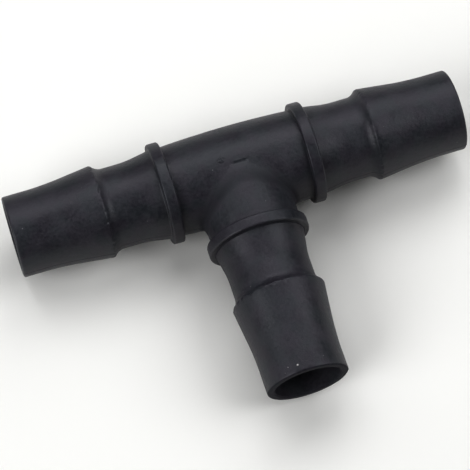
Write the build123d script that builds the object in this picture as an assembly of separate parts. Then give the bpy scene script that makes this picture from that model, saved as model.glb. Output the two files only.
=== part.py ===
from build123d import *
import os

# Barbed tee for soft irrigation pipe: one hollow moulding with a straight run and a branch.
# Each of its three arms carries a stop collar, a neck, a barb and a plain nose.
# Millimetres. The three arm axes cross at the origin: the run lies along X,
# the branch points along -Y, and +Z is up when the tee lies flat.

# Overall lengths
RUN_LENGTH = 76.0  # mouth to mouth
BRANCH_LENGTH = 38.0  # run axis to branch mouth

# Round sizes: the pipe's inside sets the neck and the nose, and the rest steps up from them
PIPE_RADIUS = 6.8  # inside radius of the pipe that is pushed on
WALL = 1.3  # between the waterway and the neck
BODY_STEP = 0.72  # body tube at its collars, over the neck
HUB_SWELL = 0.34  # body tube at the crossing, over its radius at the collars
BRANCH_SINK = 0.05  # the branch tube's crown dips below the run's by this at the crossing
SADDLE_FILLET = 0.3  # inside corner where the branch tube leaves the run tube
COLLAR_STEP = 0.98  # stop collar over the body tube
CREST_STEP = 1.0  # barb's crest over the nose

# Lengths along an arm, from the crossing outwards: the barb's taper takes up what is left
BODY_REACH = 11.15  # crossing to collar
COLLAR_WIDTH = 1.95
CONE_LENGTH = 4.1  # from the collar's foot down to the neck
NECK_LENGTH = 4.77
SHOULDER_LENGTH = 0.9  # steep back of the barb, which grips the pipe
NOSE_LENGTH = 6.6

# Small edges
COLLAR_EDGE = 0.45
CREST_EDGE = 0.25
MOUTH_EDGE = 0.35
MOUTH_LEAD = 0.25  # chamfer inside the mouth
EDGE_SHARE_OF_WALL = 0.3  # neither edge at the mouth eats more of the wall than this

bore_radius = PIPE_RADIUS - WALL
body_radius = PIPE_RADIUS + BODY_STEP
hub_radius = body_radius + HUB_SWELL
collar_radius = body_radius + COLLAR_STEP
crest_radius = PIPE_RADIUS + CREST_STEP

# Where each section of an arm starts, measured from the crossing
cone_start = BODY_REACH + COLLAR_WIDTH
neck_start = cone_start + CONE_LENGTH
shoulder_start = neck_start + NECK_LENGTH
crest_at = shoulder_start + SHOULDER_LENGTH


def turned_ring(outer_corners, rounded=()):
    """A ring about X from the corners of its outer profile, as (distance, radius), down to the bore.

    rounded lists (corner, radius) pairs for the corners that are rounded off.
    """
    first, last = outer_corners[0][0], outer_corners[-1][0]
    corners = [(first, bore_radius), *outer_corners, (last, bore_radius)]
    outline = make_face(Polyline(*corners, close=True))
    for corner, radius in rounded:
        vertex = outline.vertices().sort_by_distance((*corner, 0))[0]
        outline = fillet(vertex, radius)
    return revolve(outline, Axis.X)


def stop_collar():
    """Raised ring that the pipe's end butts against."""
    inner_corner = (BODY_REACH, collar_radius)
    outer_corner = (cone_start, collar_radius)
    edges = [(inner_corner, COLLAR_EDGE), (outer_corner, COLLAR_EDGE)]
    return turned_ring([inner_corner, outer_corner], edges)


def neck():
    """Cone and straight neck that the pipe closes on behind the barb."""
    cone_foot = (cone_start, body_radius)
    cone_end = (neck_start, PIPE_RADIUS)
    neck_end = (shoulder_start, PIPE_RADIUS)
    return turned_ring([cone_foot, cone_end, neck_end])


def barb(nose_start):
    """Steep shoulder up to the crest, then the long taper down to the nose."""
    shoulder_foot = (shoulder_start, PIPE_RADIUS)
    crest = (crest_at, crest_radius)
    taper_end = (nose_start, PIPE_RADIUS)
    return turned_ring([shoulder_foot, crest, taper_end], [(crest, CREST_EDGE)])


def nose(nose_start, mouth):
    """Plain lead-in tube, with its mouth rounded outside and chamfered inside."""
    widest_edge = EDGE_SHARE_OF_WALL * WALL
    rim = (mouth, PIPE_RADIUS)
    ring = turned_ring([(nose_start, PIPE_RADIUS), rim], [(rim, min(MOUTH_EDGE, widest_edge))])
    inner_rim = ring.edges().filter_by(GeomType.CIRCLE).sort_by_distance((mouth, bore_radius, 0))[0]
    return chamfer(inner_rim, min(MOUTH_LEAD, widest_edge))


def body_barrel(crossing_radius):
    """Solid barrel about X between the collars, widest at the crossing."""
    start, end = (-BODY_REACH, body_radius), (BODY_REACH, body_radius)
    outline = ThreePointArc(start, (0, crossing_radius), end)
    outline += Polyline(end, (BODY_REACH, 0), (-BODY_REACH, 0), start)
    return revolve(make_face(outline), Axis.X)


def tee_body():
    """Run tube and branch tube joined at the crossing, with the waterway through both."""
    run_tube = body_barrel(hub_radius)
    branch_tube = Rot(0, 0, 90) * body_barrel(hub_radius - BRANCH_SINK)
    branch_tube = split(branch_tube, bisect_by=Plane.XZ, keep=Keep.TOP)
    body = run_tube + branch_tube
    saddle = body.edges().filter_by(GeomType.BSPLINE)
    body = fillet(saddle, SADDLE_FILLET)
    along_run, along_branch = Rot(0, 90, 0), Rot(90, 0, 0)
    run_way = along_run * Cylinder(bore_radius, 2 * BODY_REACH)
    from_crossing = (Align.CENTER, Align.CENTER, Align.MIN)
    branch_way = along_branch * Cylinder(bore_radius, BODY_REACH, align=from_crossing)
    return body - run_way - branch_way


# Each arm is made along +X and turned to its place about Z
ARMS = {
    "right": (0, RUN_LENGTH / 2),
    "left": (180, RUN_LENGTH / 2),
    "branch": (-90, BRANCH_LENGTH),
}

pieces = {"tee_body": tee_body()}
for arm, (turn, mouth) in ARMS.items():
    nose_start = mouth - NOSE_LENGTH
    place = Rot(0, 0, turn)
    pieces[f"{arm}_stop_collar"] = place * stop_collar()
    pieces[f"{arm}_neck"] = place * neck()
    pieces[f"{arm}_barb"] = place * barb(nose_start)
    pieces[f"{arm}_nose"] = place * nose(nose_start, mouth)

os.makedirs("parts", exist_ok=True)
for name, piece in pieces.items():
    export_step(piece, f"parts/{name}.step")
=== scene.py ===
import math

import bmesh
import bpy
from mathutils import Matrix, Vector, noise


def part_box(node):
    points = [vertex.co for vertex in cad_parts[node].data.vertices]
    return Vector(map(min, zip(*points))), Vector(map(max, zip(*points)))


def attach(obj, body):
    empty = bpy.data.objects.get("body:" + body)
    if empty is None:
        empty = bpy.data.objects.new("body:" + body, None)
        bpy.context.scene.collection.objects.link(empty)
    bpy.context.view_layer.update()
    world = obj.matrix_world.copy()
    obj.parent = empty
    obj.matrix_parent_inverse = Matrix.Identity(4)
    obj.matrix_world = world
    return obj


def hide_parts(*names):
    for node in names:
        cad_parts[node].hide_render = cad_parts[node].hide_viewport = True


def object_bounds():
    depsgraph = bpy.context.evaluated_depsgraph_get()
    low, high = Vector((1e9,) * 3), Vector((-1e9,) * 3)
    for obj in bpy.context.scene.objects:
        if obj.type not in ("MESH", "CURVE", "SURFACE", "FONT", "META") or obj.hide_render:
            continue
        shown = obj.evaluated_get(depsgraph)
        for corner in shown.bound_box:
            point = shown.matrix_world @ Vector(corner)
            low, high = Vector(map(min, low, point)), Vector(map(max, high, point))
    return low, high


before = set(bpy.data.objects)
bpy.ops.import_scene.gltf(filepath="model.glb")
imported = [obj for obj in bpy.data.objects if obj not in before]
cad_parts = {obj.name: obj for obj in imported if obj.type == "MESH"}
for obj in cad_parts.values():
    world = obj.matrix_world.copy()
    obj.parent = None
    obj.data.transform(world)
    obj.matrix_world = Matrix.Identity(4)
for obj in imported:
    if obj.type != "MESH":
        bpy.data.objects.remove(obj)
cad_low, cad_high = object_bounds()
MM = 0.001


# --- Tee body -----------------------------------------------------------------------------
# The middle of the tee: run tube and branch tube, moulded in one shot of black polypropylene
# with the three arms. Core pins leave the waterway, the tool halves meet in a fine seam along
# both sides, and the corner between the tubes is softly filled, where the polish never reached.
# The colour there is also darkened as painted shade.

SHRINK_DEPTH = 0.045 * MM  # the wall pulls in unevenly by this as the plastic cools
SHRINK_PATCH = 3.6 * MM
SEAM_HEIGHT = 0.05 * MM
ON_SEAM = 0.002 * MM
SEAM_WIDTH = 0.15 * MM
BODY_GRID = 0.5 * MM
SADDLE_BLEND = 1.3 * MM  # how far from the corner its soft filling starts
SADDLE_START = 1.6 * MM  # it grows from nothing at the crown to full a little way down
SADDLE_FULL = 4.2 * MM
SADDLE_POLISH = 10
CREASE_CENTRE = Vector((0.15 * MM, -1.35 * MM))
CREASE_HALF_WIDTH = 1.7 * MM
CREASE_DEPTH = 0.16 * MM  # two flows of plastic met here and left a fine groove
CREASE_REACH = 0.24 * MM
CREASE_STEP = 0.07 * MM  # the nearer flow lies a little low, and fades back up
CREASE_FADE = 1.5 * MM
CREASE_WANDER = 0.10 * MM
CREASE_BEND = 0.9 * MM
SHARP_ANGLE = math.radians(28)


class Socket:
    """A shader socket or a number, with arithmetic that adds the Math nodes."""

    def __init__(self, tree, value):
        self.tree = tree
        self.value = value

    def node(self, kind, settings=(), out=0, **inputs):
        """Any node, from its type, its settings and the values or links of its sockets."""
        made = self.tree.nodes.new("ShaderNode" + kind)
        for name, setting in dict(settings).items():
            setattr(made, name, setting)
        for name, value in inputs.items():
            key = int(name[1:]) if name[1:].isdigit() else name.replace("_", " ")
            self.feed(made.inputs[key], value)
        return Socket(self.tree, made.outputs[out])

    def feed(self, socket, value):
        if isinstance(value, Socket):
            value = value.value
        if isinstance(value, bpy.types.NodeSocket):
            self.tree.links.new(value, socket)
        else:
            socket.default_value = value

    def math(self, operation, first, second):
        return self.node("Math", {"operation": operation}, s0=first, s1=second)

    def __add__(self, other):
        return self.math("ADD", self, other)

    def __sub__(self, other):
        return self.math("SUBTRACT", self, other)

    def __rsub__(self, other):
        return self.math("SUBTRACT", other, self)

    def __mul__(self, other):
        return self.math("MULTIPLY", self, other)

    __radd__ = __add__
    __rmul__ = __mul__


def moulded_plastic(name, scuffing, dullness=0.0, corner=None):
    """Near-black polypropylene with a satin skin.

    scuffing is how rubbed it is and dullness how dry a cut face is, each from 0 to 1.
    corner holds the radii of the run and branch tubes, whose corner the polish never reaches; there the
    colour is also darkened as painted shade.
    """
    material = bpy.data.materials.new(name)
    material.use_nodes = True
    tree = material.node_tree
    shader = tree.nodes["Principled BSDF"]
    place = Socket(tree, tree.nodes.new("ShaderNodeTexCoord").outputs["Object"])

    def cloud(size, detail=2.0, at=place, roughness=0.5):
        return place.node("TexNoise", Vector=at, Scale=1 / size, Detail=detail, Roughness=roughness)

    def across(*axis):
        square_to = [1.0 - part for part in axis]
        return place.node("VectorMath", {"operation": "MULTIPLY"}, s0=place, s1=square_to)

    def between(value, low, high):
        return place.node("MapRange", {"clamp": True}, Value=value, s1=low, s2=high, s3=0.0, s4=1.0)

    def blend(factor, first, second):
        return place.node("Mix", {"data_type": "RGBA"}, 2, Factor=factor, s6=first, s7=second)

    bloom = between(cloud(4.2 * MM, 3.0), 0.33, 0.67)
    elsewhere = place.node("Mapping", Vector=place, Location=(0.03, 0.01, 0.02))
    cast = between(cloud(3.1 * MM, 1.0, elsewhere), 0.4, 0.6)
    mottle = between(cloud(0.50 * MM, 4.0, roughness=0.75), 0.36, 0.64)
    grain = cloud(0.16 * MM, 2.0)
    peel = cloud(0.9 * MM, 2.0)
    rub = between(cloud(0.42 * MM, 4.0, roughness=0.7), 0.56, 0.74)
    speckling = place.node("TexVoronoi", {"feature": "F1"}, Vector=place, Scale=1 / (1.3 * MM))
    pale_specks = (1 - between(speckling, 0.04, 0.08)) * between(cloud(2.6 * MM, 0.0), 0.63, 0.68)

    deep, chalky = (0.011, 0.011, 0.015, 1), (0.049, 0.049, 0.056, 1)
    teal, plum, grey = (0.026, 0.033, 0.037, 1), (0.035, 0.029, 0.040, 1), (0.30, 0.30, 0.29, 1)
    colour = blend(bloom * 0.50 + mottle * 0.50, deep, chalky)
    colour = blend(0.35, colour, blend(cast, teal, plum))
    colour = blend(rub * (0.45 * scuffing), colour, (0.055, 0.056, 0.060, 1))
    colour = blend(pale_specks * 0.6, colour, grey)
    rough = 0.33 + 0.35 * dullness + bloom * 0.10 + mottle * 0.14 + rub * (0.12 * scuffing) + pale_specks * 0.3
    if corner:
        from_run = place.node("VectorMath", {"operation": "LENGTH"}, "Value", s0=across(1, 0, 0))
        from_branch = place.node("VectorMath", {"operation": "LENGTH"}, "Value", s0=across(0, 1, 0))
        apart = (from_run - from_branch - (corner[0] - corner[1])) * (1 / SADDLE_BLEND)
        down_branch = place.node("SeparateXYZ", out="Y", Vector=place)
        depth = between(down_branch, -1.6 * SADDLE_START, -1.4 * SADDLE_FULL)
        rough_and_shaded_corner = between(apart * apart, 1.2, 0.1) * depth
        rough = rough + rough_and_shaded_corner * 0.45
        # painted shade: the colour is darkened towards deep in the corner between the tubes, on top of
        # the extra roughness
        colour = blend(rough_and_shaded_corner * 0.45, colour, deep)
    height = grain * 0.006 + peel * 0.040 + mottle * 0.010 + rub * (0.006 * scuffing)
    bump = place.node("Bump", Height=height, Distance=MM, Strength=1.0)
    place.feed(shader.inputs["Base Color"], colour)
    place.feed(shader.inputs["Roughness"], rough)
    place.feed(shader.inputs["Normal"], bump)
    shader.inputs["IOR"].default_value = 1.49
    shader.inputs["Specular IOR Level"].default_value = 0.5 * (1 - 0.9 * dullness)
    return material


def shrink_at(point):
    """How far the cooled wall has pulled in at a point of the skin."""
    return SHRINK_DEPTH * (0.5 + 0.5 * noise.noise(point / SHRINK_PATCH))


def add_moulding(skin, name, node, *finishes):
    """Makes a finished skin a piece of the tee that stands for a CAD node."""
    bmesh.ops.recalc_face_normals(skin, faces=skin.faces)
    mesh = bpy.data.meshes.new(name)
    skin.to_mesh(mesh)
    skin.free()
    mesh.shade_smooth()
    mesh.set_sharp_from_angle(angle=SHARP_ANGLE)
    for finish in finishes:
        mesh.materials.append(finish)
    piece = bpy.data.objects.new(name, mesh)
    bpy.context.collection.objects.link(piece)
    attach(piece, "root")
    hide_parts(node)
    return piece


def slice_across(skin, normal, distances):
    """Cuts extra rings of vertices into a skin, square to an axis."""
    for distance in distances:
        everything = skin.verts[:] + skin.edges[:] + skin.faces[:]
        bmesh.ops.bisect_plane(skin, geom=everything, dist=1e-8,
                               plane_co=normal * distance, plane_no=normal)


def outward_from_axes(vert):
    """True on the outside of the tee body, false in its waterways."""
    from_run = Vector((0.0, vert.co.y, vert.co.z)).dot(vert.normal)
    from_branch = Vector((vert.co.x, 0.0, vert.co.z)).dot(vert.normal)
    return max(from_run, from_branch) > MM


def crease_drop(point):
    """How far the groove and the low flow behind it lie below the crown."""
    beside = abs(point.x - CREASE_CENTRE.x) / CREASE_HALF_WIDTH
    if point.z < 0 or beside > 1:
        return 0.0
    wander = CREASE_WANDER * noise.noise(Vector((point.x / CREASE_BEND, 4.0, 2.0)))
    behind = CREASE_CENTRE.y + wander - point.y
    groove = max(0.0, 1 - abs(behind) / CREASE_REACH)
    low_flow = max(0.0, 1 - behind / CREASE_FADE) ** 2 if behind > 0 else 0.0
    return (1 - beside ** 2) * (CREASE_DEPTH * groove + CREASE_STEP * low_flow)


skin = bmesh.new()
skin.from_mesh(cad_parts["tee_body"].data)
bmesh.ops.remove_doubles(skin, verts=skin.verts, dist=1e-7)
low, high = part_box("tee_body")
reach = high.x
columns = int(reach / BODY_GRID)
slice_across(skin, Vector((1, 0, 0)), [i * BODY_GRID for i in range(-columns, columns + 1)])
slice_across(skin, Vector((0, 1, 0)), [-i * BODY_GRID for i in range(1, columns + 1)])
slice_across(skin, Vector((0, 0, 1)), [-SEAM_WIDTH, 0.0, SEAM_WIDTH])
skin.normal_update()
outside = [vert for vert in skin.verts if outward_from_axes(vert)]
run_back = [vert.co for vert in outside if abs(vert.co.x) < MM and vert.co.y > 0]
run_radius = max(math.hypot(point.y, point.z) for point in run_back)
branch_end = [vert.co for vert in outside if vert.co.y < MM - reach]
branch_radius = max(math.hypot(point.x, point.z) for point in branch_end)


def above_tubes(point):
    """How far a point lies outside the run tube, and outside the branch tube."""
    off_run = math.hypot(point.y, point.z) - run_radius
    off_branch = math.hypot(point.x, point.z) - branch_radius
    return off_run, off_branch


saddle = []
for vert in outside:
    off_run, off_branch = above_tubes(vert.co)
    blend = SADDLE_BLEND - abs(off_run - off_branch)
    grown = (-vert.co.y - SADDLE_START) / (SADDLE_FULL - SADDLE_START)
    if blend > 0 and grown > 0:
        fill = blend ** 2 / (4 * SADDLE_BLEND) - max(0.0, min(off_run, off_branch))
        vert.co += vert.normal * max(0.0, fill) * min(1.0, grown)
        saddle.append(vert)
for _ in range(SADDLE_POLISH):
    bmesh.ops.smooth_vert(skin, verts=saddle, factor=0.5,
                          use_axis_x=True, use_axis_y=True, use_axis_z=True)
slice_across(skin, Vector((0, 1, 0)), [CREASE_CENTRE.y - i * 0.06 * MM for i in range(-5, 6)])
slice_across(skin, Vector((1, 0, 0)), [CREASE_CENTRE.x + (i + 0.5) * 0.2 * MM for i in range(-9, 9)])
skin.normal_update()
for vert in skin.verts:
    at_collar = max(abs(vert.co.x), -vert.co.y) > reach - ON_SEAM
    if at_collar or not outward_from_axes(vert):
        continue
    raised = SEAM_HEIGHT if abs(vert.co.z) < ON_SEAM else 0.0
    vert.co += vert.normal * (raised - shrink_at(vert.co) - crease_drop(vert.co))
tubes = (run_radius, branch_radius)
body_plastic = moulded_plastic("body_black_moulding", scuffing=0.35, corner=tubes)
add_moulding(skin, "tee_body_skin", "tee_body", body_plastic)


# --- Stop collars -------------------------------------------------------------------------
# A ring round the end of each body tube, moulded with it in the same plastic, with its edges
# rounded over and a small slope at its foot. The pipe's cut end stops against its outer flank.

TURNS = {"right": 0.0, "left": math.pi, "branch": -math.pi / 2}
TURN_STEPS = 240
SLICE = 0.45 * MM
COLLAR_EDGE = 0.32 * MM
COLLAR_FOOT = 0.10 * MM
COLLAR_PARTING = -0.03 * MM  # the rings are trimmed along the seam, not raised
BORE = 5.5 * MM  # the waterway's radius
IN_BORE = 0.3 * MM
satin_plastic = moulded_plastic("satin_black_moulding", scuffing=0.35)


def arm_box(arm, section):
    """Where a section of an arm starts and ends from the crossing, and its largest radius."""
    low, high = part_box(f"{arm}_{section}")
    if arm == "branch":
        return -high.y, -low.y, high.z
    start, end = sorted((abs(low.x), abs(high.x)))
    return start, end, high.z


def turned_skin(arm, corners, seam, fray=None):
    """Spins a closed outline about the X axis, and lets the cooled skin wander.

    corners lists (distance, radius, softening) round the outline, where softening is how far
    back from the corner its rounding starts. fray gives what is lost from the skin at a point.
    """
    skin = bmesh.new()
    points = [skin.verts.new((distance, radius, 0.0)) for distance, radius, _ in corners]
    for first, second in zip(points, points[1:] + points[:1]):
        skin.edges.new((first, second))
    for point, (_, _, softening) in zip(points, corners):
        if softening:
            bmesh.ops.bevel(skin, geom=[point], offset=softening, offset_type="OFFSET", segments=6,
                            profile=0.5, affect="VERTICES", material=-1)
    for edge in skin.edges[:]:
        cuts = int(edge.calc_length() / SLICE)
        if cuts and abs(edge.verts[0].co.x - edge.verts[1].co.x) > SLICE:
            bmesh.ops.subdivide_edges(skin, edges=[edge], cuts=cuts)
    bmesh.ops.spin(skin, geom=skin.verts[:] + skin.edges[:], cent=(0, 0, 0), axis=(1, 0, 0),
                   dvec=(0, 0, 0), angle=2 * math.pi, steps=TURN_STEPS, use_merge=True)
    bmesh.ops.recalc_face_normals(skin, faces=skin.faces)
    place = Matrix.Rotation(TURNS[arm], 4, "Z")
    for vert in skin.verts:
        radial = Vector((0.0, vert.co.y, vert.co.z))
        if radial.length < BORE + IN_BORE:
            continue
        change = -shrink_at(place @ vert.co)
        if abs(vert.co.z) < ON_SEAM:
            change += seam
        if fray:
            change -= fray(vert.co.x, place @ vert.co)
        vert.co += radial.normalized() * change
    return skin


for arm in TURNS:
    start, end, crest = arm_box(arm, "stop_collar")
    body_tube = arm_box(arm, "neck")[2] - SHRINK_DEPTH
    outline = [
        (start - COLLAR_FOOT, BORE, 0),
        (start - COLLAR_FOOT, body_tube, 0),
        (start, body_tube + COLLAR_FOOT, 0),
        (start, crest, COLLAR_EDGE),
        (end, crest, COLLAR_EDGE),
        (end, BORE, 0),
    ]
    skin = turned_skin(arm, outline, COLLAR_PARTING)
    skin.transform(Matrix.Rotation(TURNS[arm], 4, "Z"))
    add_moulding(skin, f"{arm}_collar_ring", f"{arm}_stop_collar", satin_plastic)


# --- Necks, barbs and noses ---------------------------------------------------------------
# Beyond the collar each arm is one turned shape: a short cone to a straight neck, a steep
# shoulder that bites into the pipe, a long taper that eases the pipe on, and a plain nose.
# The branch's trimmed rim is left dull. Each is parted where neck, barb and nose meet.

NECK_FOOT = {"right": 0.14 * MM, "left": 0.14 * MM, "branch": 0.12 * MM}
CONE_LENGTH = 4.1 * MM
SHOULDER_LENGTH = 0.9 * MM
MOUTH_LEAD = 0.25 * MM
FOOT_SINK = 0.05 * MM
CONE_SOFTNESS = 1.3 * MM  # how far back from each corner its rounding starts
NECK_SOFTNESS = 0.8 * MM
CREST_SOFTNESS = 0.26 * MM
TAPER_SOFTNESS = 2.6 * MM
MOUTH_SOFTNESS = 0.35 * MM
MOUTH_SIDE = 0.5  # faces that look this much along the branch were trimmed
CREST_FRAY = 0.26 * MM  # the crest fills last, so it is short in spots, and it gets nicked
FRAY_PATCH = 0.55 * MM
FRAY_REACH = 0.4 * MM
neck_plastic = moulded_plastic("handled_black_moulding", scuffing=0.6)
rubbed_plastic = moulded_plastic("rubbed_black_moulding", scuffing=1.0)
dull_plastic = moulded_plastic("dull_black_moulding", scuffing=0.2, dullness=0.7)


def crest_fray(crest_at):
    """Gives what an arm's crest lacks at a point: most in a few spots, and nothing off it."""
    def lost(distance, point):
        nearness = max(0.0, 1 - abs(distance - crest_at) / FRAY_REACH)
        return CREST_FRAY * nearness * max(0.0, noise.noise(point / FRAY_PATCH))
    return lost


def dull_mouth(turned):
    """Gives the faces that look out along the arm the second finish."""
    turned.normal_update()
    for face in turned.faces:
        if face.normal.x > MOUTH_SIDE:
            face.material_index = 1


def part_off(turned, start, end):
    """Saws one section out of a turned arm, and closes its cut ends."""
    section = turned.copy()
    for distance, outward in ((start, -1), (end, 1)):
        everything = section.verts[:] + section.edges[:] + section.faces[:]
        bmesh.ops.bisect_plane(section, geom=everything, dist=1e-8, plane_co=(distance, 0, 0),
                               plane_no=(outward, 0, 0), clear_outer=True)
        rims = [edge for edge in section.edges if edge.is_boundary]
        if rims:
            bmesh.ops.bridge_loops(section, edges=rims)
    return section


for arm in TURNS:
    neck_start, neck_end, foot = arm_box(arm, "neck")
    _, barb_end, crest = arm_box(arm, "barb")
    _, mouth, radius = arm_box(arm, "nose")
    crest_at = neck_end + SHOULDER_LENGTH
    slope = NECK_FOOT[arm]
    outline = [
        (neck_start, BORE, 0),
        (neck_start, foot + slope, 0),
        (neck_start + slope, foot - FOOT_SINK, 0.8 * slope),
        (neck_start + CONE_LENGTH, radius, CONE_SOFTNESS),
        (neck_end, radius, NECK_SOFTNESS),
        (crest_at, crest, CREST_SOFTNESS),
        (barb_end, radius, TAPER_SOFTNESS),
        (mouth, radius, MOUTH_SOFTNESS),
        (mouth, BORE + MOUTH_LEAD, 0),
        (mouth - MOUTH_LEAD, BORE, 0),
    ]
    turned = turned_skin(arm, outline, SEAM_HEIGHT, crest_fray(crest_at))
    if arm == "branch":
        dull_mouth(turned)
    for section, start, end, finish in (
        ("neck", neck_start, neck_end, neck_plastic),
        ("barb", neck_end, barb_end, rubbed_plastic),
        ("nose", barb_end, mouth, rubbed_plastic),
    ):
        skin = part_off(turned, start, end)
        skin.transform(Matrix.Rotation(TURNS[arm], 4, "Z"))
        add_moulding(skin, f"{arm}_{section}_turned", f"{arm}_{section}", finish, dull_plastic)
    turned.free()


# --- Gate scar ----------------------------------------------------------------------------
# The stub of plastic left on the crown where the runner was snapped off: a low, torn disc,
# part of the same moulding.

SCAR_CENTRE = Vector((-2.6 * MM, -0.45 * MM))
SCAR_RADIUS = 0.58 * MM
SCAR_RISE = 0.22 * MM
SCAR_STEPS = ((0.12, 0.5), (0.13, 0.35), (0.16, 0.1), (0.12, -0.1))  # inset in mm, share of the rise
SCAR_SINK = 0.06 * MM
scar_plastic = moulded_plastic("torn_black_moulding", scuffing=1.0)
skin = bmesh.new()
bmesh.ops.create_circle(skin, cap_ends=True, segments=28, radius=SCAR_RADIUS)
skin.faces.ensure_lookup_table()
for inset, rise in SCAR_STEPS:
    top = max(skin.faces, key=lambda face: len(face.verts))
    bmesh.ops.inset_individual(skin, faces=[top], thickness=inset * MM, depth=rise * SCAR_RISE)
for vert in skin.verts:
    spoke = noise.noise(vert.co / (0.35 * MM))
    vert.co.x *= 1.25 + 0.22 * spoke
    vert.co.y *= 0.8 + 0.25 * noise.noise(vert.co / (0.3 * MM) + Vector((7, 3, 1)))
    vert.co.z *= 1 + 0.7 * spoke
    vert.co += Vector((SCAR_CENTRE.x, SCAR_CENTRE.y, 0.0))
    vert.co.z += math.sqrt(run_radius ** 2 - vert.co.y ** 2) - SCAR_SINK
bmesh.ops.recalc_face_normals(skin, faces=skin.faces)
mesh = bpy.data.meshes.new("gate_scar")
skin.to_mesh(mesh)
skin.free()
mesh.shade_smooth()
mesh.materials.append(scar_plastic)
scar = bpy.data.objects.new("gate_scar", mesh)
bpy.context.collection.objects.link(scar)
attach(scar, "root")


# --- Dust grains --------------------------------------------------------------------------
# A few small pale specks sit on the branch, two by the rim of its mouth and one by
# its collar. They are pressed a little into the skin.

# pale, rough specks set at listed spots on the branch
PALE_SPECK_SPOTS = (
    (-1.55 * MM, -36.75 * MM, radius, 0.20 * MM),
    (-3.05 * MM, -36.50 * MM, radius, 0.09 * MM),
    (-1.30 * MM, -11.00 * MM, branch_radius, 0.09 * MM),
)
speckling = bpy.data.materials.new("pale_speck_finish")
speckling.use_nodes = True
speck = speckling.node_tree.nodes["Principled BSDF"]
body = Socket(speckling.node_tree, speckling.node_tree.nodes.new("ShaderNodeTexCoord").outputs["Object"])
flake = body.node("TexNoise", Vector=body, Scale=1 / (0.08 * MM), Detail=2.0)
dim, pale = (0.22, 0.215, 0.20, 1), (0.62, 0.61, 0.59, 1)
shade = body.node("Mix", {"data_type": "RGBA"}, 2, Factor=flake, s6=dim, s7=pale)
body.feed(speck.inputs["Base Color"], shade)
speck.inputs["Roughness"].default_value = 0.8
skin = bmesh.new()
for x, y, tube, size in PALE_SPECK_SPOTS:
    across = y if tube == run_radius else x
    height = math.sqrt(tube ** 2 - across ** 2) - 0.2 * size
    spot = Matrix.Translation((x, y, height)) @ Matrix.Diagonal((1.0, 0.8, 0.5, 1.0))
    bmesh.ops.create_icosphere(skin, subdivisions=2, radius=size, matrix=spot)
for vert in skin.verts:
    vert.co.z += 0.03 * MM * noise.noise(vert.co / (0.1 * MM))
mesh = bpy.data.meshes.new("pale_speck_bumps")
skin.to_mesh(mesh)
skin.free()
mesh.shade_smooth()
mesh.materials.append(speckling)
pale_specks = bpy.data.objects.new("pale_speck_bumps", mesh)
bpy.context.collection.objects.link(pale_specks)
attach(pale_specks, "root")


# --- Floor --------------------------------------------------------------------------------
# A plain pale table for the tee to lie on. It isn't part of the object.

paint = bpy.data.materials.new("floor_paint")
paint.use_nodes = True
coat = paint.node_tree.nodes["Principled BSDF"]
coat.inputs["Base Color"].default_value = (0.865, 0.86, 0.80, 1.0)
coat.inputs["Roughness"].default_value = 0.9
table = bmesh.new()
bmesh.ops.create_grid(table, x_segments=1, y_segments=1, size=1.5)
bmesh.ops.translate(table, verts=table.verts, vec=(0, 0, cad_low.z))
floor_mesh = bpy.data.meshes.new("floor")
table.to_mesh(floor_mesh)
table.free()
floor_mesh.materials.append(paint)
floor = bpy.data.objects.new("floor", floor_mesh)
bpy.context.collection.objects.link(floor)


# --- Camera -------------------------------------------------------------------------------
# A long lens looks steeply down on the tee from the branch's side, turned a little to its
# left, so that the run climbs to the right and the branch's mouth is just open to view.

CAMERA_AZIMUTH = math.radians(-18.16)
CAMERA_ELEVATION = math.radians(67.99)
CAMERA_ROLL = math.radians(0.55)
CAMERA_DISTANCE = 0.3826
AIM = Vector((-0.0001, -0.0102, 0.0))
SENSOR_WIDTH = 36.0
FOCAL_LENGTH = 178.4

back = Vector((
    math.sin(CAMERA_AZIMUTH) * math.cos(CAMERA_ELEVATION),
    -math.cos(CAMERA_AZIMUTH) * math.cos(CAMERA_ELEVATION),
    math.sin(CAMERA_ELEVATION),
))
level = Vector((math.cos(CAMERA_AZIMUTH), math.sin(CAMERA_AZIMUTH), 0.0))
facing = Matrix((level, back.cross(level), back)).transposed()
facing = facing @ Matrix.Rotation(CAMERA_ROLL, 3, "Z")
camera = bpy.data.objects.new("camera", bpy.data.cameras.new("camera"))
bpy.context.collection.objects.link(camera)
camera.matrix_world = Matrix.Translation(facing @ AIM + back * CAMERA_DISTANCE) @ facing.to_4x4()
camera.data.sensor_width = SENSOR_WIDTH
camera.data.lens = FOCAL_LENGTH
bpy.context.scene.camera = camera


# --- Lights -------------------------------------------------------------------------------
# Five broad soft panels stand about the table at arm's length, in a room that glows faintly.
# The view gets a little extra contrast, as in a catalogue.

PANEL_DISTANCE = 0.6
PANEL_SIZE = 0.45
VIEW_CONTRAST = 0.76
COOL_WHITE = (0.98, 0.985, 1.04)
FAINT_GLOW = (0.03, 0.03, 0.032, 1.0)


def panel(name, azimuth, elevation, power):
    """A round soft light, by its direction in degrees from the front, and its power in watts."""
    light = bpy.data.lights.new(name, "AREA")
    light.shape = "DISK"
    light.size = PANEL_SIZE
    light.energy = power
    light.color = COOL_WHITE
    turn, tilt = math.radians(azimuth), math.radians(elevation)
    way = Vector((math.sin(turn) * math.cos(tilt), -math.cos(turn) * math.cos(tilt), math.sin(tilt)))
    lamp = bpy.data.objects.new(name, light)
    bpy.context.collection.objects.link(lamp)
    facing_tee = way.to_track_quat("Z", "Y").to_matrix().to_4x4()
    lamp.matrix_world = Matrix.Translation(way * PANEL_DISTANCE) @ facing_tee


panel("right", 75, 45, 1.8)
panel("left", 290, 35, 2.3)
panel("right_behind", 145, 40, 1.0)
panel("behind", 180, 60, 1.2)
panel("left_behind", 220, 45, 0.6)

room = bpy.data.worlds.new("room")
room.use_nodes = True
room.node_tree.nodes["Background"].inputs["Color"].default_value = FAINT_GLOW
bpy.context.scene.world = room
bpy.context.scene.view_settings.view_transform = "Standard"
bpy.context.scene.view_settings.gamma = VIEW_CONTRAST
